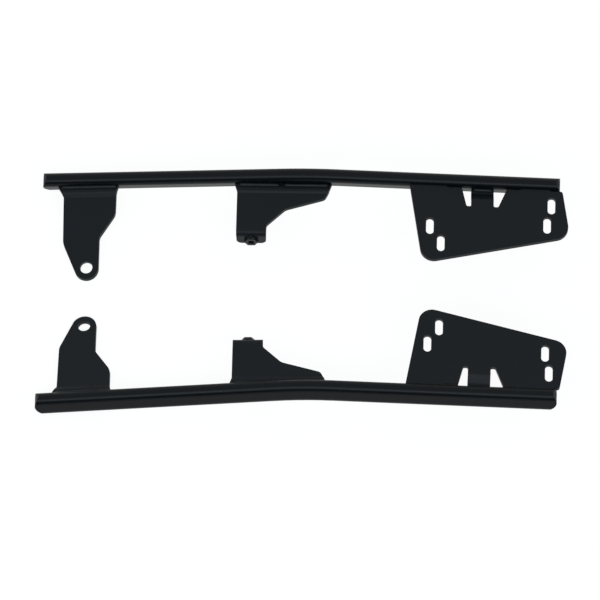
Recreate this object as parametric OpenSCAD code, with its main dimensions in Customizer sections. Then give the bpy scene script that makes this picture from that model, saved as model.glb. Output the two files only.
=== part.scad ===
// Side rails that carry a top box on a motorbike.
// Two mirrored rails. Each is a bent flat-oval tube with three welded plates:
// a front bracket, a middle bracket with a folded foot, and a slotted rear plate.
// Millimetres. +X points to the back of the bike, +Y to its right, +Z up.
// The origin is midway between the two front outer slots, on the rear plates' top face.

/* [Rail] */
// distance between the two tubes' centre lines
rail_spacing = 203; // [160:1:280]
// tube height across its section
tube_height = 20; // [18:0.5:22]
// tube width across its section
tube_width = 12; // [10:0.5:13]
// tube wall
tube_wall = 2; // [1.2:0.1:2.5]
// lean of the section, top inwards, in degrees
tube_lean = 13; // [6:1:16]
// length from the bend to the front end
front_length = 226; // [220:1:250]
// length from the bend to the back end
rear_length = 213; // [212:1:240]
// angle of the bend, in degrees
bend_angle = 9.6; // [6:0.1:12]
// radius of the bend at the centre line
bend_radius = 290; // [200:10:320]
// lean of the bend's plane, top inwards, in degrees
bend_lean = 7; // [4:0.5:10]
// how far the underside of each end is cut back
end_cut = 6.5; // [3:0.5:8]
// height of that cut
end_cut_height = 12; // [8:0.5:14]
// radius of the top of each end, seen from the side
end_round = 9; // [5:0.5:9]
// length of the end plugs
plug_length = 14; // [12:1:20]

/* [Sheet] */
// thickness of the plates
sheet = 4; // [3:0.5:5]
// middle-line radius of the folds
fold_radius = 4; // [3.5:0.5:4.5]

/* [Front bracket] */
// diameter of the bolt hole
front_hole = 10.5; // [8.5:0.1:11]
// hole's distance in front of the bend
front_hole_back = 187.3; // [184:0.1:190]
// hole's distance in from the tube
front_hole_in = 77; // [70:0.5:82]
// radius of the rounded tip
front_tip = 10.3; // [9.5:0.1:12]
// width of the bracket at its root
front_width = 44; // [42:1:48]
// taper of its front edge, in degrees
front_taper = 23.5; // [20:0.5:27]
// downward slope of its plate, in degrees
front_slope = 9.6; // [6:0.1:12]
// depth of the step beside the tube
front_step = 3.1; // [2:0.1:4]

/* [Middle bracket] */
// width of the foot
foot_width = 25; // [22:0.5:26]
// distance from the tube to the foot's face
foot_in = 52.5; // [48:0.5:58]
// height of the foot
foot_height = 16; // [15:0.5:20]
// downward slope of the plate, in degrees
middle_slope = 3.7; // [2:0.1:5]
// depth of the step beside the tube
middle_step = 1.5; // [1:0.1:2.5]
// width of the nut across its flats
nut_flats = 10; // [9:0.5:11]
// thickness of the nut
nut_height = 3; // [2.5:0.1:5]
// core diameter of the nut's thread
nut_core = 5; // [4.5:0.1:5.2]
// chamfer at both ends of the thread
nut_chamfer = 0.5; // [0.4:0.1:0.8]
// clearance hole behind the nut
foot_hole = 6.6; // [6:0.1:7]

/* [Rear plate] */
// top of the plate above the tube's centre line
plate_top = 6; // [5:0.1:7]
// slot width
slot_width = 6.5; // [6:0.1:7]
// slot length, end to end
slot_length = 16; // [12:0.5:18]
// radius of the plate's two inner corners
plate_corner = 11.5; // [8:0.5:14]
// gap between the plate's edge and the tube
plate_gap = 1; // [0.8:0.1:2.5]
// width of the tongue
tongue_width = 19; // [16:0.5:20]
// drop of the tongue at the tube
tongue_drop = 4.5; // [3:0.1:5]

/* [Quality] */
// facets on round edges
facets = 64; // [32:8:96]

/* [Hidden] */
$fn = facets;
fold_steps = facets / 4;
// the bend is a hair fuller than the straights and laps them
bend_lap = 0.12;
bend_full = 0.02;
coat = "#22282b";
bright = "#8f9396";
half_y = rail_spacing / 2;
tube_r = tube_width / 2;
tube_flat = tube_height - tube_width;
front_pitch = asin(sin(bend_angle) * cos(bend_lean));
front_yaw = atan(tan(bend_angle) * sin(bend_lean));
tangent = bend_radius * tan(bend_angle / 2);
apex_drop = bend_radius * (1 / cos(bend_angle / 2) - 1);
// slot centres: distance behind the bend, distance in from the tube
slots = [[103.5, 45.4], [113, 61.4], [202.5, 40.5], [205.9, 21.8]];
// rear plate, measured from the bend: its tabs' edges, back edge and inner corners
front_tab = [85.4, 117.3];
rear_tab = [179.7, 204.2];
plate_back = 215;
plate_front_corner = [97.8, 80];
plate_rear_corner = [222, 50.6];
tongue_left = 138;
// the windows' outer sides, at the plate's edge and at the tip
front_window = [129.9, 134.1];
rear_window = [167.8, 160.9];
window_in = 25.3;
// how far a bead stops short of its tab's edges
bead_back = 2.1;
edge_in = tube_r + 1;
plate_edge = edge_in + plate_gap;
tab_in = tube_r - 2;
// front bracket, measured from the bend
front_side = -front_hole_back + front_tip;
front_left = front_side - 30.8;
front_root = front_left + front_width;
front_apex = front_hole_in + front_tip / tan(front_taper / 2);
front_shoulder = front_apex - (front_side - front_left) / tan(front_taper);
// middle bracket, measured from the bend
foot_left = -59.6;
foot_right = foot_left + foot_width;
foot_mid = foot_left + foot_width / 2;
foot_line = foot_in - sheet / 2;
middle_flange_z = -3.5;
middle_low_z = middle_flange_z - middle_step - (foot_line - 13.5) * tan(middle_slope);
foot_end_z = middle_low_z + sheet / 2 - foot_height;
nut_z = (foot_end_z + middle_low_z) / 2 - 0.5;
front_flange_z = 0.5;
front_low_z = front_flange_z - front_step;

// helpers for outlines

function unit(v) = v / norm(v);
function turn(a, b) = atan2(a.x * b.y - a.y * b.x, a * b);
function spun(v, a) = [v.x * cos(a) - v.y * sin(a), v.x * sin(a) + v.y * cos(a)];
function reversed(list) = [for (i = [len(list) - 1 : -1 : 0]) list[i]];

// outline with rounded corners: each point is [x, y, radius], counter-clockwise
module rounded(points) {
  n = len(points);
  xy = [for (p = points) [p.x, p.y]];
  into = [for (i = [0 : n - 1]) unit(xy[i] - xy[(i + n - 1) % n])];
  away = [for (i = [0 : n - 1]) unit(xy[(i + 1) % n] - xy[i])];
  bend = [for (i = [0 : n - 1]) turn(into[i], away[i])];
  cut = [for (i = [0 : n - 1]) points[i].z * tan(abs(bend[i]) / 2)];
  centre = [for (i = [0 : n - 1])
    xy[i] - into[i] * cut[i] + [-into[i].y, into[i].x] * points[i].z * sign(bend[i])];
  difference() {
    union() {
      polygon([for (i = [0 : n - 1], k = [0 : (points[i].z > 0 ? 1 : 0)])
        points[i].z == 0 ? xy[i] : (k == 0 ? xy[i] - into[i] * cut[i] : xy[i] + away[i] * cut[i])]);
      for (i = [0 : n - 1]) {
        if (points[i].z > 0 && bend[i] > 0) translate(centre[i]) circle(r = points[i].z);
      }
    }
    for (i = [0 : n - 1]) {
      if (points[i].z > 0 && bend[i] < 0) translate(centre[i]) circle(r = points[i].z);
    }
  }
}

// side view of a folded strip: its middle line is a row of points, folded at a radius
module folded(path, thick, radius) {
  n = len(path);
  dir = [for (i = [0 : n - 2]) unit(path[i + 1] - path[i])];
  bend = concat([0], [for (i = [1 : n - 2]) turn(dir[i - 1], dir[i])], [0]);
  cut = [for (b = bend) radius * tan(abs(b) / 2)];
  // the strip's edge on one side, k = 1 for the left and -1 for the right
  function edge(k) = [
    for (i = [0 : n - 1])
      let (
        d = dir[max(i - 1, 0)],
        left = [-d.y, d.x],
        side = sign(bend[i]),
        centre = path[i] - d * cut[i] + left * radius * side,
        steps = bend[i] == 0 ? 0 : ceil(abs(bend[i]) / 90 * fold_steps))
      for (j = [0 : steps])
        let (a = steps == 0 ? 0 : bend[i] * j / steps)
        steps == 0
          ? path[i] + left * k * thick / 2
          : centre + spun(left, a) * (k * thick / 2 - radius * side)];
  polygon(concat(edge(-1), reversed(edge(1))));
}

// frames along one rail: x along the tube, y inwards, z up

module in_front() {
  rotate([0, -front_pitch, front_yaw]) children();
}

module in_middle() {
  translate([0, 0, -apex_drop]) rotate([0, -front_pitch / 2, front_yaw / 2]) children();
}

// the rail's frame: the left rail as drawn, the right rail mirrored
module left() {
  translate([-slots[0].x, -half_y, -plate_top]) children();
}

module right() {
  mirror([0, 1, 0]) left() children();
}

// a side view, y inwards and z up, run along x
module along(from, to) {
  translate([from, 0, 0]) rotate([90, 0, 90]) linear_extrude(to - from) children();
}

// tube

// section seen along the rail: x outwards to inwards, y up
module tube_section(inset = 0) {
  rotate(bend_lean - tube_lean) {
    for (k = [-1, 1]) translate([0, k * tube_flat / 2]) circle(r = tube_r - inset);
    square([tube_width - 2 * inset, tube_flat], center = true);
  }
}

// side view of an end with a round top and its underside cut back
module end_profile(reach) {
  h = tube_height / 2 + 1.5;
  cut_z = -tube_height / 2 + end_cut_height;
  rake = end_cut / end_cut_height;
  rounded([
    [0, -h, 0], [reach - rake * (cut_z + h), -h, 0], [reach, cut_z - 0.6, 2],
    [reach, h, min(end_round, h - cut_z)], [0, h, 0]]);
}

module tube_straights(inset) {
  rotate([-bend_lean, 0, 0]) {
    intersection() {
      along(tangent, rear_length) tube_section(inset);
      rotate([90, 0, 0]) translate([0, 0, -15]) linear_extrude(30) end_profile(rear_length);
    }
    rotate([0, -bend_angle, 0]) intersection() {
      along(-front_length, -tangent) tube_section(inset);
      rotate([90, 0, 0]) translate([0, 0, -15]) linear_extrude(30) mirror([1, 0])
        end_profile(front_length);
    }
  }
}

module tube_bend(inset) {
  rotate([-bend_lean, 0, 0]) translate([tangent, 0, -bend_radius]) rotate([90, 0, 0])
    rotate([0, 0, 90 - bend_lap]) rotate_extrude(angle = bend_angle + 2 * bend_lap, $fn = 360)
      translate([bend_radius, 0]) rotate(-90) tube_section(inset - bend_full);
}

module tube_body(inset = 0) {
  tube_straights(inset);
  tube_bend(inset);
}

module tube() {
  color(coat) difference() {
    tube_body();
    tube_body(tube_wall);
  }
}

module rear_plug() {
  color(coat) rotate([-bend_lean, 0, 0]) intersection() {
    along(rear_length - plug_length, rear_length) tube_section(tube_wall);
    rotate([90, 0, 0]) translate([0, 0, -15]) linear_extrude(30) end_profile(rear_length);
  }
}

module front_plug() {
  color(coat) rotate([-bend_lean, 0, 0]) rotate([0, -bend_angle, 0]) intersection() {
    along(-front_length, plug_length - front_length) tube_section(tube_wall);
    rotate([90, 0, 0]) translate([0, 0, -15]) linear_extrude(30) mirror([1, 0])
      end_profile(front_length);
  }
}

// front bracket

module front_outline() {
  rounded([
    [front_left - 7, tab_in, 0],
    [front_root + 3, tab_in, 0],
    [front_root + 0.2, 13, 3],
    [front_root, 30.5, 12],
    [front_side, 50.5, 9],
    [front_side, front_apex, front_tip],
    [front_left, front_shoulder, 14],
    [front_left - 0.6, 14.5, 4]]);
}

module front_side_view() {
  low = 95;
  folded([
    [tab_in - 1, front_flange_z], [11, front_flange_z], [14.5, front_low_z],
    [low, front_low_z - (low - 14.5) * tan(front_slope)]], sheet, fold_radius / 1.5);
}

// frame of the front bolt: origin on the plate's middle, z along the hole
module at_front_hole() {
  translate([-front_hole_back, front_hole_in, front_low_z - (front_hole_in - 14.5) * tan(front_slope)])
    rotate([-front_slope, 0, 0]) children();
}

module front_blank() {
  intersection() {
    translate([0, 0, -30]) linear_extrude(60) front_outline();
    along(-front_length, -150) front_side_view();
  }
}

module front_bracket() {
  color(coat) difference() {
    in_front() difference() {
      front_blank();
      at_front_hole() cylinder(d = front_hole, h = 3 * sheet, center = true);
    }
    tube_body();
  }
}

// middle bracket

module middle_outline() {
  rounded([
    [foot_left - 3.2, tab_in, 0],
    [20.5, tab_in, 0],
    [18, 11.5, 4],
    [14.5, 18.6, 5],
    [-18.5, 28.4, 9],
    [foot_right + 0.4, 43.5, 4],
    [foot_right, 62, 0],
    [foot_left, 62, 0],
    [foot_left - 0.3, 12.5, 3]]);
}

module middle_side_view() {
  folded([
    [tab_in - 1, middle_flange_z], [11.5, middle_flange_z], [13.5, middle_flange_z - middle_step],
    [foot_line, middle_low_z], [foot_line, foot_end_z]], sheet, fold_radius / 1.25);
}

module middle_blank() {
  intersection() {
    translate([0, 0, -40]) linear_extrude(80) middle_outline();
    along(-70, 30) middle_side_view();
    rotate([90, 0, 0]) translate([0, 0, -80]) linear_extrude(160) rounded([
      [-70, 20, 0], [-70, -10, 0], [foot_left, -10, 0], [foot_left, foot_end_z, 5],
      [foot_right, foot_end_z, 5], [foot_right, -10, 0], [30, -10, 0], [30, 20, 0]]);
  }
}

// frame of the foot's bolt: origin on the foot's face, z pointing inwards
module at_foot() {
  translate([foot_mid, foot_in, nut_z]) rotate([-90, 0, 0]) children();
}

module middle_bracket() {
  color(coat) difference() {
    in_middle() difference() {
      middle_blank();
      at_foot() cylinder(d = foot_hole, h = 4 * sheet, center = true);
    }
    tube_body();
  }
}

// half of the bore's section
module nut_bore() {
  r = nut_core / 2;
  wide = r + nut_chamfer;
  polygon([
    [0, -1], [wide, -1], [wide, 0], [r, nut_chamfer], [r, nut_height - nut_chamfer],
    [wide, nut_height], [wide, nut_height + 1], [0, nut_height + 1]]);
}

module nut() {
  color(bright) in_middle() at_foot() difference() {
    cylinder(r = nut_flats / 2 / cos(30), h = nut_height, $fn = 6);
    rotate_extrude() nut_bore();
  }
}

module nut_weld() {
  color(coat) in_middle() at_foot() difference() {
    union() {
      for (k = [0 : 2]) rotate(120 * k + 30) translate([nut_flats / 2 + 0.6, 0, 0])
        sphere(r = 1.3, $fn = 24);
    }
    cylinder(r = nut_flats / 2 / cos(30), h = nut_height + 2, $fn = 6);
    translate([0, 0, -4]) cylinder(r = 12, h = 4);
  }
}

// rear plate

tongue_right = tongue_left + tongue_width;

module slot_outline(at) {
  translate(at) {
    for (k = [-1, 1]) translate([0, k * (slot_length - slot_width) / 2]) circle(d = slot_width);
    square([slot_width, slot_length - slot_width], center = true);
  }
}

// window beside the tongue; its outer corners lean away from it
module window_outline(inner, outer, tip) {
  side = sign(outer - inner);
  row = [[inner, edge_in - 3, 0], [outer, edge_in - 3, 0], [outer, plate_edge, 0], [tip, window_in, 1.8],
    [inner, window_in, 1.4]];
  rounded(side > 0 ? row : reversed(row));
}

module plate_outline() {
  difference() {
    rounded([
      [front_tab[0], tab_in, 0], [front_tab[1], tab_in, 0],
      [front_tab[1], plate_edge, 0], [rear_tab[0], plate_edge, 0],
      [rear_tab[0], tab_in, 0], [rear_tab[1], tab_in, 0],
      [rear_tab[1], plate_edge, 0], [plate_back, plate_edge - 0.4, 2.5],
      [plate_rear_corner.x, plate_rear_corner.y, plate_corner + 0.5],
      [plate_front_corner.x, plate_front_corner.y, plate_corner]]);
    window_outline(tongue_left, front_window[0], front_window[1]);
    window_outline(tongue_right, rear_window[0], rear_window[1]);
    translate([tongue_left - 1, 0]) square([tongue_width + 2, window_in - 4]);
    for (at = slots) slot_outline(at);
  }
}

module tongue() {
  z = plate_top - sheet / 2;
  along(tongue_left, tongue_right) folded([
    [window_in - 4, z], [window_in - 6, z], [11.5, z - tongue_drop], [tab_in, z - tongue_drop]],
    sheet, fold_radius);
}

module plate_blank() {
  translate([0, 0, plate_top - sheet]) linear_extrude(sheet) plate_outline();
  tongue();
}

module rear_plate() {
  color(coat) difference() {
    plate_blank();
    tube_body();
  }
}

// welds: beads along the joints, cleared of the pieces they join

module bead(from, to, w, z, r) {
  translate([from, w, z]) rotate([0, 90, 0]) cylinder(r = r, h = to - from, $fn = 24);
  for (x = [from, to]) translate([x, w, z]) sphere(r = r, $fn = 24);
}

module front_weld() {
  color(coat) difference() {
    in_front() {
      bead(front_left - 3, front_root + 1, tube_r + 1.6, front_flange_z + sheet / 2 + 0.2, 1.9);
      bead(front_left - 3, front_root + 1, tube_r + 0.6, front_flange_z - sheet / 2 - 0.2, 1.9);
    }
    tube_body();
    in_front() front_blank();
  }
}

// bead that follows the bend, from one angle to another behind its middle
module bent_bead(from, to, w, z, r) {
  out = w * cos(bend_lean) - z * sin(bend_lean);
  up = z * cos(bend_lean) + w * sin(bend_lean);
  rotate([-bend_lean, 0, 0]) translate([tangent, 0, -bend_radius]) rotate([90, 0, 0])
    rotate([0, 0, 90 + bend_angle / 2 - to]) rotate_extrude(angle = to - from, $fn = 360)
      translate([bend_radius + up, -out]) circle(r = r, $fn = 24);
}

module middle_weld() {
  z = middle_flange_z + sheet / 2;
  color(coat) difference() {
    union() {
      in_middle() bead(foot_left + 1.2, -29, tube_r + 1.3, z + 0.2, 1.8);
      bent_bead(-3.4, 3.6, tube_r + 1.1, z - 0.2, 1.9);
    }
    tube_body();
    in_middle() middle_blank();
  }
}

module rear_weld() {
  color(coat) difference() {
    union() {
      // under the tabs, so that the box's plate lies flat on top
      for (tab = [front_tab, rear_tab])
        bead(tab[0] + bead_back, tab[1] - bead_back, tube_r + 1.4, plate_top - sheet - 0.1, 1.9);
      bead(tongue_left + 1.5, tongue_right - 1.5, tube_r + 1.2, plate_top - tongue_drop + 0.1, 1.9);
    }
    tube_body();
    plate_blank();
  }
}

left() tube();  // left_tube
left() front_plug();  // left_front_plug
left() rear_plug();  // left_rear_plug
left() front_bracket();  // left_front_bracket
left() middle_bracket();  // left_middle_bracket
left() rear_plate();  // left_rear_plate
left() nut();  // left_nut
left() front_weld();  // left_front_weld
left() middle_weld();  // left_middle_weld
left() rear_weld();  // left_rear_weld
left() nut_weld();  // left_nut_weld
right() tube();  // right_tube
right() front_plug();  // right_front_plug
right() rear_plug();  // right_rear_plug
right() front_bracket();  // right_front_bracket
right() middle_bracket();  // right_middle_bracket
right() rear_plate();  // right_rear_plate
right() nut();  // right_nut
right() front_weld();  // right_front_weld
right() middle_weld();  // right_middle_weld
right() rear_weld();  // right_rear_weld
right() nut_weld();  // right_nut_weld
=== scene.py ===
"""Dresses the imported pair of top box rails: powder coat, weld beads, floor, light and camera."""

from __future__ import annotations

import logging
import math
from dataclasses import dataclass, field
from enum import Enum

import bpy
import numpy as np
from mathutils import Matrix, Vector

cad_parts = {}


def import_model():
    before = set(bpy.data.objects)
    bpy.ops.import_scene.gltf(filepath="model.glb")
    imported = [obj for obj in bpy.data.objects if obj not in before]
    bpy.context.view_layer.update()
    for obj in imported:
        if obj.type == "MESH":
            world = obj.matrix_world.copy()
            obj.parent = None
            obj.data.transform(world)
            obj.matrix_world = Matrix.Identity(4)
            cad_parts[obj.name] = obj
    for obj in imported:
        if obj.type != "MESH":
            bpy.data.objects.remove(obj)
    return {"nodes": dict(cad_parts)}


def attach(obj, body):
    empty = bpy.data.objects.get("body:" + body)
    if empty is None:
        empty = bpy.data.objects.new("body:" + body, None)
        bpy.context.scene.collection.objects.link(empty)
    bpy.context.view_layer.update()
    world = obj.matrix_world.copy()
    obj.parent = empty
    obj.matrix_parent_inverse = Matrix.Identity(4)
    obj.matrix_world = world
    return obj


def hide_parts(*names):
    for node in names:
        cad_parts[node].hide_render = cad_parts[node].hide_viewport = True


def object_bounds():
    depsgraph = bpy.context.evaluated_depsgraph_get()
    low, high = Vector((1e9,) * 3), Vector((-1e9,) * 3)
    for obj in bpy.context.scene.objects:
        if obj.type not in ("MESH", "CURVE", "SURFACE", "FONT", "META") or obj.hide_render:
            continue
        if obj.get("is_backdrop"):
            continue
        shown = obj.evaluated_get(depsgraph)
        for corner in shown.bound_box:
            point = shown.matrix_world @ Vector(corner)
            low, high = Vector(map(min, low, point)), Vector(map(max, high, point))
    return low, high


LOG = logging.getLogger("rails")
MM = 0.001
IMAGE_PX = 600
# keeps the floor clear of the lowest point of the rails
FLOOR_GAP_M = 0.0005


class Side(Enum):
    """The two rails; the value is the sign of the rail's Y."""

    LEFT = -1
    RIGHT = 1

    @property
    def word(self) -> str:
        """Gives the word that the rail's nodes start with.

        Returns:
            "left" or "right".
        """
        return self.name.lower()


def to_linear(hex_colour: str) -> tuple[float, float, float, float]:
    """Turns an sRGB hex colour into linear light.

    Args:
        hex_colour: Colour such as "#22282b".

    Returns:
        Red, green, blue and an alpha of 1.
    """
    parts = [int(hex_colour[i : i + 2], 16) / 255 for i in (1, 3, 5)]
    linear = [p / 12.92 if p <= 0.04045 else ((p + 0.055) / 1.055) ** 2.4 for p in parts]
    return (*linear, 1.0)


def per_metre(size_mm: float) -> float:
    """Turns a real size into a pattern scale, for coordinates in metres.

    Args:
        size_mm: Size of one cell of the pattern, in millimetres.

    Returns:
        Cells in a metre.
    """
    return 1 / (size_mm * MM)


def add_node(
    tree: bpy.types.NodeTree, kind: str, links: dict | None = None, **settings: object
) -> bpy.types.Node:
    """Adds a node, sets it and links it.

    Args:
        tree: Node tree to add to.
        kind: Blender's name of the node type.
        links: Input name or number to the output socket that feeds it.
        settings: Attributes, or inputs by name with "_" for a space when "in_" comes first.

    Returns:
        The new node.
    """
    node = tree.nodes.new(kind)
    for key, value in settings.items():
        if key.startswith("in_"):
            name = key[3:].replace("_", " ")
            node.inputs[int(name) if name.isdigit() else name].default_value = value
        else:
            setattr(node, key, value)
    for name, socket in (links or {}).items():
        tree.links.new(socket, node.inputs[name])
    return node


@dataclass(frozen=True)
class PowderCoat:
    """Satin black polyester powder coat on steel, sprayed and baked.

    It gives the eye a soft, slightly bluish black with a fine orange peel, edges painted paler as a
    highlight and where the powder draws back, and faint clouds where the film is thicker.
    Reliefs are drawn relief_gain times deeper than real, so that they show at this size.
    """

    name: str
    shade: str
    thick_shade: str
    roughness: float
    gloss: float
    # orange peel is about 1 mm across; drawn at 2.4 mm so that it shows at this size
    peel_mm: float = 2.4
    peel_height_mm: float = 0.012
    grain_mm: float = 0.7
    grain_height_mm: float = 0.006
    cloud_mm: float = 38.0
    edge_mm: float = 0.7
    # paler colour mixed in at edges: a painted highlight, and where the coat is thin and rubbed
    edge_highlight_and_wear_shade: str = "#1d262b"
    highlight_and_wear_patch_mm: float = 6.0
    relief_gain: float = 4.0
    peel_strength: float = 0.6
    grain_strength: float = 0.5
    # cosine between face and bevelled normal where an edge begins, and where it is full
    edge_begins: float = 0.985
    edge_full: float = 0.86
    # where the patch noise is below the lower bound the edge gets the least painted highlight and wear,
    # above the upper bound the full
    highlight_and_wear_from: float = 0.4
    highlight_and_wear_to: float = 0.7
    highlight_and_wear_least: float = 0.15
    # how much a thin film lowers the roughness, a thick one raises it and rubbing lowers it
    thin_smoother: float = 0.04
    thick_rougher: float = 0.05
    rub_polish: float = 0.12

    def edge_highlight_and_wear_share(
        self, tree: bpy.types.NodeTree, where: bpy.types.NodeSocket, edge: bpy.types.Node
    ) -> bpy.types.NodeSocket:
        """Finds the edges, painted paler in patches: a painted highlight, and a thin, rubbed coat.

        Args:
            tree: Node tree to add to.
            where: Object coordinates.
            edge: Bevel node, whose normal turns near an edge.

        Returns:
            A socket that is 0 on the faces and up to 1 on edges with the painted highlight and wear.
        """
        face = add_node(tree, "ShaderNodeNewGeometry")
        along = add_node(
            tree,
            "ShaderNodeVectorMath",
            {0: edge.outputs["Normal"], 1: face.outputs["True Normal"]},
            operation="DOT_PRODUCT",
        )
        near = add_node(
            tree,
            "ShaderNodeMapRange",
            {"Value": along.outputs["Value"]},
            in_1=self.edge_begins,
            in_2=self.edge_full,
            in_3=0.0,
            in_4=1.0,
        )
        patch = add_node(
            tree, "ShaderNodeTexNoise", {"Vector": where}, in_Scale=per_metre(self.highlight_and_wear_patch_mm), in_Detail=2.0
        )
        patchy_highlight_and_wear = add_node(
            tree,
            "ShaderNodeMapRange",
            {"Value": patch.outputs["Fac"]},
            in_1=self.highlight_and_wear_from,
            in_2=self.highlight_and_wear_to,
            in_3=self.highlight_and_wear_least,
            in_4=1.0,
        )
        both = add_node(
            tree, "ShaderNodeMath", {0: near.outputs[0], 1: patchy_highlight_and_wear.outputs[0]}, operation="MULTIPLY"
        )
        return both.outputs[0]

    def make(self) -> bpy.types.Material:
        """Builds the material.

        Returns:
            The new material, on Object coordinates.
        """
        material = bpy.data.materials.new(self.name)
        material.use_nodes = True
        tree = material.node_tree
        shader = tree.nodes["Principled BSDF"]
        shader.inputs["Metallic"].default_value = 0.0
        shader.inputs["IOR"].default_value = 1.5
        shader.inputs["Specular IOR Level"].default_value = self.gloss
        where = add_node(tree, "ShaderNodeTexCoord").outputs["Object"]
        cloud = add_node(
            tree, "ShaderNodeTexNoise", {"Vector": where}, in_Scale=per_metre(self.cloud_mm), in_Detail=3.0
        )
        shade = add_node(
            tree,
            "ShaderNodeMix",
            {"Factor": cloud.outputs["Fac"]},
            data_type="RGBA",
            in_6=to_linear(self.shade),
            in_7=to_linear(self.thick_shade),
        )
        edge = add_node(tree, "ShaderNodeBevel", samples=6, in_Radius=self.edge_mm * MM)
        # edge mask that mixes the coat toward a paler colour: a painted highlight, and a thin, rubbed coat
        edge_highlight_and_wear = self.edge_highlight_and_wear_share(tree, where, edge)
        coat = add_node(
            tree,
            "ShaderNodeMix",
            {"Factor": edge_highlight_and_wear, 6: shade.outputs[2]},
            data_type="RGBA",
            in_7=to_linear(self.edge_highlight_and_wear_shade),
        )
        tree.links.new(coat.outputs[2], shader.inputs["Base Color"])
        satin = add_node(
            tree,
            "ShaderNodeMapRange",
            {"Value": cloud.outputs["Fac"]},
            in_3=self.roughness - self.thin_smoother,
            in_4=self.roughness + self.thick_rougher,
        )
        rubbed = add_node(
            tree,
            "ShaderNodeMath",
            {0: edge_highlight_and_wear, 2: satin.outputs[0]},
            operation="MULTIPLY_ADD",
            in_1=-self.rub_polish,
        )
        tree.links.new(rubbed.outputs[0], shader.inputs["Roughness"])
        peel = add_node(
            tree, "ShaderNodeTexNoise", {"Vector": where}, in_Scale=per_metre(self.peel_mm), in_Detail=1.0
        )
        grain = add_node(
            tree, "ShaderNodeTexNoise", {"Vector": where}, in_Scale=per_metre(self.grain_mm), in_Detail=0.0
        )
        rough = add_node(
            tree,
            "ShaderNodeBump",
            {"Height": peel.outputs["Fac"], "Normal": edge.outputs["Normal"]},
            in_Strength=self.peel_strength,
            in_Distance=self.peel_height_mm * MM * self.relief_gain,
        )
        fine = add_node(
            tree,
            "ShaderNodeBump",
            {"Height": grain.outputs["Fac"], "Normal": rough.outputs["Normal"]},
            in_Strength=self.grain_strength,
            in_Distance=self.grain_height_mm * MM * self.relief_gain,
        )
        tree.links.new(fine.outputs["Normal"], shader.inputs["Normal"])
        return material


# flat plates: an even dark grey, nearly matt, that shows the peel in slanting light
PLATE_COAT = PowderCoat("satin_black_powder_coat", "#070d11", "#0b1318", roughness=0.44, gloss=0.15)
# tube: darker and smoother, so that it draws a sharp pale band and a dark line
TUBE_COAT = PowderCoat("satin_black_powder_coat_tube", "#060a0d", "#090f13", roughness=0.3, gloss=0.12)
# closed ends: the dullest and darkest spots, a painted shade where little light comes back
END_COAT = PowderCoat("powder_coated_tube_end", "#050608", "#080a0c", roughness=0.5, gloss=0.08)
# weld beads: paler crests, a painted highlight, which show the ripples one by one
WELD_COAT = PowderCoat(
    "powder_coated_weld_bead", "#0e1315", "#13191c", roughness=0.38, gloss=0.2, edge_mm=0.3
)
# nut: a little paler than its plate, with a painted highlight on its edges
NUT_COAT = PowderCoat("powder_coated_nut", "#0d1214", "#14191c", roughness=0.4, gloss=0.2, edge_mm=0.4)

FINISHES = {
    "tube": TUBE_COAT,
    "front_plug": END_COAT,
    "rear_plug": END_COAT,
    "front_bracket": PLATE_COAT,
    "middle_bracket": PLATE_COAT,
    "rear_plate": PLATE_COAT,
    "nut": NUT_COAT,
    "nut_weld": WELD_COAT,
}


def turned(axis: str, degrees: float) -> np.ndarray:
    """Makes the matrix of a turn about one axis.

    Args:
        axis: "X", "Y" or "Z".
        degrees: Angle of the turn.

    Returns:
        A 3 by 3 matrix.
    """
    return np.array(Matrix.Rotation(math.radians(degrees), 3, axis))


@dataclass(frozen=True)
class RailFrame:
    """Where one rail's own coordinates lie: x along the tube, y inwards, z up.

    Lengths are in millimetres and angles in degrees.
    """

    side: Side
    half_spacing: float = 101.5
    bend_behind: float = 103.5
    plate_top: float = 6.0
    bend_angle: float = 9.6
    bend_lean: float = 7.0
    bend_radius: float = 290.0

    @property
    def bend_turns(self) -> tuple[float, float]:
        """Splits the leaning bend into a pitch and a yaw.

        pitch = asin(sin bend * cos lean), yaw = atan(tan bend * sin lean).

        Returns:
            Pitch and yaw of the tube's front part, in degrees.
        """
        bend, lean = math.radians(self.bend_angle), math.radians(self.bend_lean)
        pitch = math.degrees(math.asin(math.sin(bend) * math.cos(lean)))
        yaw = math.degrees(math.atan(math.tan(bend) * math.sin(lean)))
        return pitch, yaw

    @property
    def front_turn(self) -> np.ndarray:
        """Gives the turn of the tube's front part, without the lean of the bend's plane.

        Returns:
            A 3 by 3 matrix.
        """
        pitch, yaw = self.bend_turns
        return turned("Z", yaw) @ turned("Y", -pitch)

    @property
    def middle_turn(self) -> np.ndarray:
        """Gives the turn of the middle bracket, half that of the front part.

        Returns:
            A 3 by 3 matrix.
        """
        pitch, yaw = self.bend_turns
        return turned("Z", yaw / 2) @ turned("Y", -pitch / 2)

    @property
    def apex_drop(self) -> float:
        """Finds how far the bend's arc passes below the two straights' meeting point.

        Returns:
            The drop in millimetres.
        """
        return self.bend_radius * (1 / math.cos(math.radians(self.bend_angle / 2)) - 1)

    def place(self, points: np.ndarray) -> np.ndarray:
        """Turns points of the rail into points of the part.

        Args:
            points: Points in the rail's own frame, in millimetres.

        Returns:
            The points in the part's frame, in metres.
        """
        world = points + np.array([-self.bend_behind, -self.half_spacing, -self.plate_top])
        world[..., 1] *= -self.side.value
        return world * MM


@dataclass(frozen=True)
class WeldRun:
    """One bead: its ends along the tube and its place beside it, in millimetres."""

    start: float
    end: float
    inwards: float
    up: float
    zone: str
    radius: float = 2.0
    # where the bead's crown looks, in degrees from inwards towards up
    lean: float = 45.0


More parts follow.
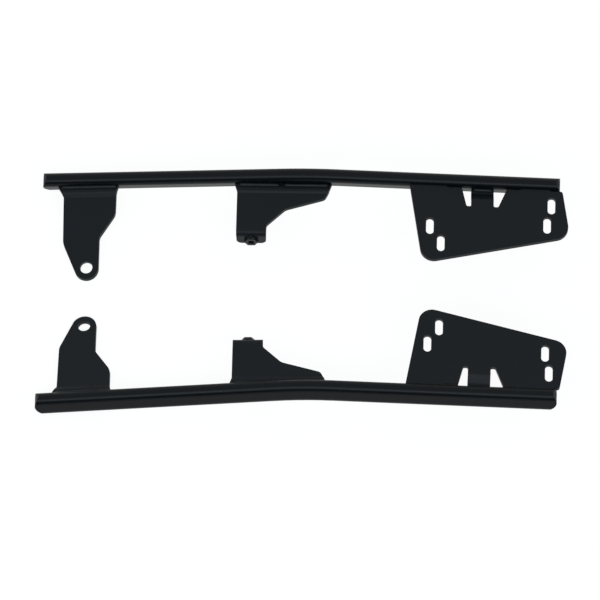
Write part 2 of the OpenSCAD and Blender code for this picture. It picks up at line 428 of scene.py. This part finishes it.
@dataclass
class WeldBeads:
    """The weld beads of one rail, laid as a row of overlapping puddles."""

    rail: RailFrame
    ripple_mm: float = 2.1
    ripple_depth: float = 0.13
    ring_mm: float = 0.35
    least_rings: int = 12
    sides: int = 20
    # a higher power makes the dip between two puddles narrower
    dip_power: float = 1.5
    # shift of the ripple from one bead to the next, as a share of a puddle
    phase_step: float = 0.37
    # a slow and a quick unsteadiness of the hand: share of the radius, and millimetres to a radian
    wander: tuple[tuple[float, float], ...] = ((0.05, 3.1), (0.03, 1.37))
    crescent_mm: float = 0.45
    flatness: float = 0.95
    # keeps the end rings from closing to a point
    least_cap: float = 1e-4
    runs: dict[str, list[WeldRun]] = field(
        default_factory=lambda: {
            "front_weld": [
                WeldRun(-210.4, -163.2, 7.3, 2.5, "front"),
                WeldRun(-210.4, -163.2, 6.6, -1.7, "front", lean=-45.0),
            ],
            "middle_weld": [
                WeldRun(-58.4, -24.5, 7.1, -1.5, "middle"),
                WeldRun(-20.5, 17.0, 7.1, -1.6, "middle"),
            ],
            "rear_weld": [
                WeldRun(86.6, 116.1, 7.4, 1.9, "rear", lean=-45.0),
                WeldRun(180.9, 203.0, 7.4, 1.9, "rear", lean=-45.0),
                WeldRun(139.5, 155.5, 7.2, 1.6, "rear"),
            ],
        }
    )

    def bead(self, run: WeldRun, number: int) -> tuple[np.ndarray, np.ndarray]:
        """Surface of one bead.

        A ring of points is carried along x. Its radius is the run's radius, times a row of
        arcs that dip where two puddles meet, times a rounded fall at both ends. Each ring
        leans back where the puddle cooled, so the ripples are crescents.

        Args:
            run: The bead's place and size.
            number: Number that shifts the ripple from one bead to the next.

        Returns:
            Points in the rail's own frame, and faces.
        """
        length = run.end - run.start
        rings = max(int(length / self.ring_mm), self.least_rings)
        u = np.linspace(0, 1, rings)[:, None]
        a = np.linspace(0, 2 * math.pi, self.sides, endpoint=False)[None, :]
        x = u * length
        phase = (x / self.ripple_mm + self.phase_step * number) % 1.0
        dip = 1 - self.ripple_depth * (1 - np.abs(np.sin(math.pi * phase))) ** self.dip_power
        (slow, slow_mm), (quick, quick_mm) = self.wander
        wander = 1 + slow * np.sin(x / slow_mm + number) + quick * np.sin(x / quick_mm + 2 * number)
        near_end = np.minimum(x, length - x) / run.radius
        cap = np.sqrt(np.clip(1 - (1 - np.clip(near_end, 0, 1)) ** 2, self.least_cap, 1))
        r = run.radius * dip * wander * cap
        lean = math.radians(run.lean)
        crown = np.cos(a - lean)
        points = np.stack(
            [
                run.start + x + self.crescent_mm * crown * cap,
                run.inwards + r * np.cos(a),
                run.up + r * np.sin(a) * self.flatness,
            ],
            axis=-1,
        )
        i = np.arange(rings - 1)[:, None] * self.sides
        j = np.arange(self.sides)[None, :]
        k = (j + 1) % self.sides
        quads = np.stack([i + j, i + k, i + self.sides + k, i + self.sides + j], axis=-1).reshape(-1, 4)
        return points.reshape(-1, 3), quads

    def in_zone(self, points: np.ndarray, zone: str) -> np.ndarray:
        """Carries points into the rail's frame from the part of the tube that they follow.

        Args:
            points: Points along that part, in millimetres.
            zone: "front", "middle" or "rear".

        Returns:
            The points in the rail's own frame, in millimetres.
        """
        if zone == "front":
            return points @ self.rail.front_turn.T
        if zone == "middle":
            return points @ self.rail.middle_turn.T + np.array([0, 0, -self.rail.apex_drop])
        return points

    def build(self, material: bpy.types.Material) -> list[bpy.types.Object]:
        """Makes one piece for each weld node, which it replaces.

        Args:
            material: Finish of the beads.

        Returns:
            The new pieces.
        """
        made = []
        for node, runs in self.runs.items():
            points, faces, caps, count = [], [], [], 0
            for number, run in enumerate(runs):
                p, f = self.bead(run, number)
                points.append(self.in_zone(p, run.zone))
                faces.append(f + count)
                last = count + len(p)
                caps.append(list(range(count + self.sides - 1, count - 1, -1)))
                caps.append(list(range(last - self.sides, last)))
                count = last
            placed = self.rail.place(np.concatenate(points))
            polygons = np.concatenate(faces).tolist() + caps
            # turned round on one rail, so that both rails' faces wind alike, which is inwards
            if self.rail.side is Side.LEFT:
                polygons = [face[::-1] for face in polygons]
            name = f"{self.rail.side.word}_{node}_bead"
            mesh = bpy.data.meshes.new(name)
            mesh.from_pydata(placed.tolist(), [], polygons)
            mesh.shade_smooth()
            mesh.materials.append(material)
            piece = bpy.data.objects.new(name, mesh)
            bpy.context.scene.collection.objects.link(piece)
            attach(piece, "root")
            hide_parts(f"{self.rail.side.word}_{node}")
            made.append(piece)
        return made


@dataclass
class Rail:
    """One rail: its CAD nodes in their finishes, and its weld beads."""

    side: Side
    nodes: dict[str, bpy.types.Object]
    materials: dict[str, bpy.types.Material]

    def dress(self) -> None:
        """Gives every node of the rail its finish and adds the beads."""
        for node, finish in FINISHES.items():
            mesh = self.nodes[f"{self.side.word}_{node}"].data
            mesh.materials.clear()
            mesh.materials.append(self.materials[finish.name])
            LOG.info("%s_%s wears %s", self.side.word, node, finish.name)
        for piece in WeldBeads(RailFrame(self.side)).build(self.materials[WELD_COAT.name]):
            LOG.info("%s: %d faces", piece.name, len(piece.data.polygons))


@dataclass(frozen=True)
class Camera:
    """Long-lens camera at the photograph's viewing angle.

    Angles are in degrees; distance and clip are in metres.
    """

    azimuth: float = -3.32
    elevation: float = 61.96
    roll: float = 5.31
    px_per_mm: float = 1.1871
    # pixel of the image where the anchor point falls
    anchor_px: tuple[float, float] = (308.93, 290.31)
    anchor_mm: tuple[float, float, float] = (-100.0, 0.0, -20.0)
    distance: float = 10.0
    sensor_mm: float = 36.0
    clip: tuple[float, float] = (1.0, 50.0)

    def make(self) -> bpy.types.Object:
        """Creates the camera and makes it the scene's.

        Returns:
            The camera.
        """
        az, el, roll = (math.radians(v) for v in (self.azimuth, self.elevation, self.roll))
        back = Vector((math.sin(az) * math.cos(el), -math.cos(az) * math.cos(el), math.sin(el)))
        right = Vector((math.cos(az), math.sin(az), 0))
        up = back.cross(right)
        right, up = (
            right * math.cos(roll) + up * math.sin(roll),
            up * math.cos(roll) - right * math.sin(roll),
        )
        middle = IMAGE_PX / 2
        target = Vector(self.anchor_mm) * MM
        target += right * (middle - self.anchor_px[0]) / self.px_per_mm * MM
        target -= up * (middle - self.anchor_px[1]) / self.px_per_mm * MM
        data = bpy.data.cameras.new("camera")
        data.sensor_width = self.sensor_mm
        data.lens = data.sensor_width * self.distance * self.px_per_mm / (IMAGE_PX * MM)
        data.clip_start, data.clip_end = self.clip
        camera = bpy.data.objects.new("camera", data)
        turn = Matrix((right, up, back)).transposed().to_4x4()
        camera.matrix_world = Matrix.Translation(target + back * self.distance) @ turn
        bpy.context.scene.collection.objects.link(camera)
        bpy.context.scene.camera = camera
        return camera


def background_rays(tree: bpy.types.NodeTree) -> bpy.types.NodeSocket:
    """Marks the rays that see the background: from the camera, mirrored or let through.

    Args:
        tree: Node tree to add to.

    Returns:
        A socket that is 1 for such a ray and 0 for any other.
    """
    seen = add_node(tree, "ShaderNodeLightPath").outputs
    shown = seen["Is Camera Ray"]
    for other in ("Is Glossy Ray", "Is Transmission Ray"):
        shown = add_node(tree, "ShaderNodeMath", {0: shown, 1: seen[other]}, operation="MAXIMUM").outputs[0]
    return shown


@dataclass(frozen=True)
class Lamp:
    """One soft box: place and size in metres, and power in watts."""

    name: str
    place: tuple[float, float, float]
    size: tuple[float, float]
    power: float
    tint: str = "#ffffff"


def sheet(name: str, corners: list[tuple[float, float, float]]) -> bpy.types.Object:
    """Makes a flat four-cornered sheet and puts it in the scene.

    Args:
        name: Name of the object and its mesh.
        corners: Its corners in order, in metres.

    Returns:
        The sheet.
    """
    mesh = bpy.data.meshes.new(name)
    mesh.from_pydata(corners, [], [(0, 1, 2, 3)])
    flat = bpy.data.objects.new(name, mesh)
    bpy.context.scene.collection.objects.link(flat)
    return flat


@dataclass
class Studio:
    """Pale floor, black card, soft box and a white world. Places and sizes are in metres."""

    floor_z: float
    centre: tuple[float, float, float] = (-0.1, 0.0, -0.02)
    dome_tint: str = "#e6f1f8"
    dome_level: float = 0.6
    # share of plain white in the floor; the rest is lit paper that keeps the shadow
    floor_white: float = 0.88
    floor_half: float = 6.0
    # slightly over 1, which makes up for the lit paper's share
    floor_glow: float = 1.06
    paper_shade: str = "#f4f4f4"
    card_half: float = 3.5
    card_top: float = 0.62
    card_front: float = -1.3
    card_shade: str = "#0c0c0c"
    lamps: tuple[Lamp, ...] = (Lamp("key_box", (-0.1, -1.2, 1.32), (2.6, 0.5), 17.0, "#eaf4ff"),)

    def floor(self) -> None:
        """Lays the floor: a pale matt sheet that shows white and keeps a faint shadow."""
        half = self.floor_half
        signs = ((-1, -1), (1, -1), (1, 1), (-1, 1))
        floor = sheet("studio_floor", [(half * x, half * y, self.floor_z) for x, y in signs])
        material = bpy.data.materials.new("white_paper_floor")
        material.use_nodes = True
        tree = material.node_tree
        tree.nodes.clear()
        paper = add_node(tree, "ShaderNodeBsdfDiffuse", in_Color=to_linear(self.paper_shade))
        glow = add_node(tree, "ShaderNodeEmission", in_Color=(1, 1, 1, 1), in_Strength=self.floor_glow)
        share = add_node(
            tree, "ShaderNodeMath", {0: background_rays(tree)}, operation="MULTIPLY", in_1=self.floor_white
        )
        both = add_node(
            tree,
            "ShaderNodeMixShader",
            {0: share.outputs[0], 1: paper.outputs[0], 2: glow.outputs[0]},
        )
        add_node(tree, "ShaderNodeOutputMaterial", {0: both.outputs[0]})
        floor.data.materials.append(material)
        floor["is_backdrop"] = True

    def flag(self) -> None:
        """Stands a black card in front, low down: it draws the dark line along the tubes."""
        wide, front, low, high = self.card_half, self.card_front, self.floor_z, self.card_top
        corners = [(-wide, front, low), (wide, front, low), (wide, front, high), (-wide, front, high)]
        card = sheet("black_card", corners)
        card.visible_camera = False
        material = bpy.data.materials.new("black_card")
        material.use_nodes = True
        tree = material.node_tree
        tree.nodes.clear()
        black = add_node(tree, "ShaderNodeBsdfDiffuse", in_Color=to_linear(self.card_shade))
        add_node(tree, "ShaderNodeOutputMaterial", {0: black.outputs[0]})
        card.data.materials.append(material)
        card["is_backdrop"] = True

    def light(self) -> None:
        """Hangs the soft boxes, aimed at the part."""
        for lamp in self.lamps:
            data = bpy.data.lights.new(lamp.name, "AREA")
            data.shape = "RECTANGLE"
            data.size, data.size_y = lamp.size
            data.energy = lamp.power
            data.color = to_linear(lamp.tint)[:3]
            box = bpy.data.objects.new(lamp.name, data)
            place = Vector(lamp.place)
            aim = (place - Vector(self.centre)).to_track_quat("Z", "Y")
            box.matrix_world = Matrix.Translation(place) @ aim.to_matrix().to_4x4()
            box.visible_camera = False
            bpy.context.scene.collection.objects.link(box)

    def world(self) -> None:
        """White to the camera, a plain dimmer white to everything else."""
        world = bpy.data.worlds.new("studio_world")
        bpy.context.scene.world = world
        world.use_nodes = True
        tree = world.node_tree
        tree.nodes.clear()
        shown = background_rays(tree)
        level = add_node(
            tree, "ShaderNodeMapRange", {"Value": shown}, in_3=self.dome_level, in_4=1.0
        )
        tint = add_node(
            tree,
            "ShaderNodeMix",
            {"Factor": shown},
            data_type="RGBA",
            in_6=to_linear(self.dome_tint),
            in_7=(1, 1, 1, 1),
        )
        sky = add_node(
            tree, "ShaderNodeBackground", {"Color": tint.outputs[2], "Strength": level.outputs[0]}
        )
        add_node(tree, "ShaderNodeOutputWorld", {0: sky.outputs[0]})

    def build(self) -> None:
        """Builds the whole studio."""
        self.floor()
        self.flag()
        self.light()
        self.world()


def main() -> None:
    logging.basicConfig(level=logging.INFO, format="%(name)s: %(message)s")
    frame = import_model()
    cad_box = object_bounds()
    Camera().make()
    materials = {}
    for finish in {f.name: f for f in (*FINISHES.values(), WELD_COAT)}.values():
        materials[finish.name] = finish.make()
    for side in Side:
        Rail(side, frame["nodes"], materials).dress()
    Studio(floor_z=cad_box[0].z - FLOOR_GAP_M).build()
    bpy.context.scene.view_settings.view_transform = "Standard"


if __name__ == "__main__":
    main()
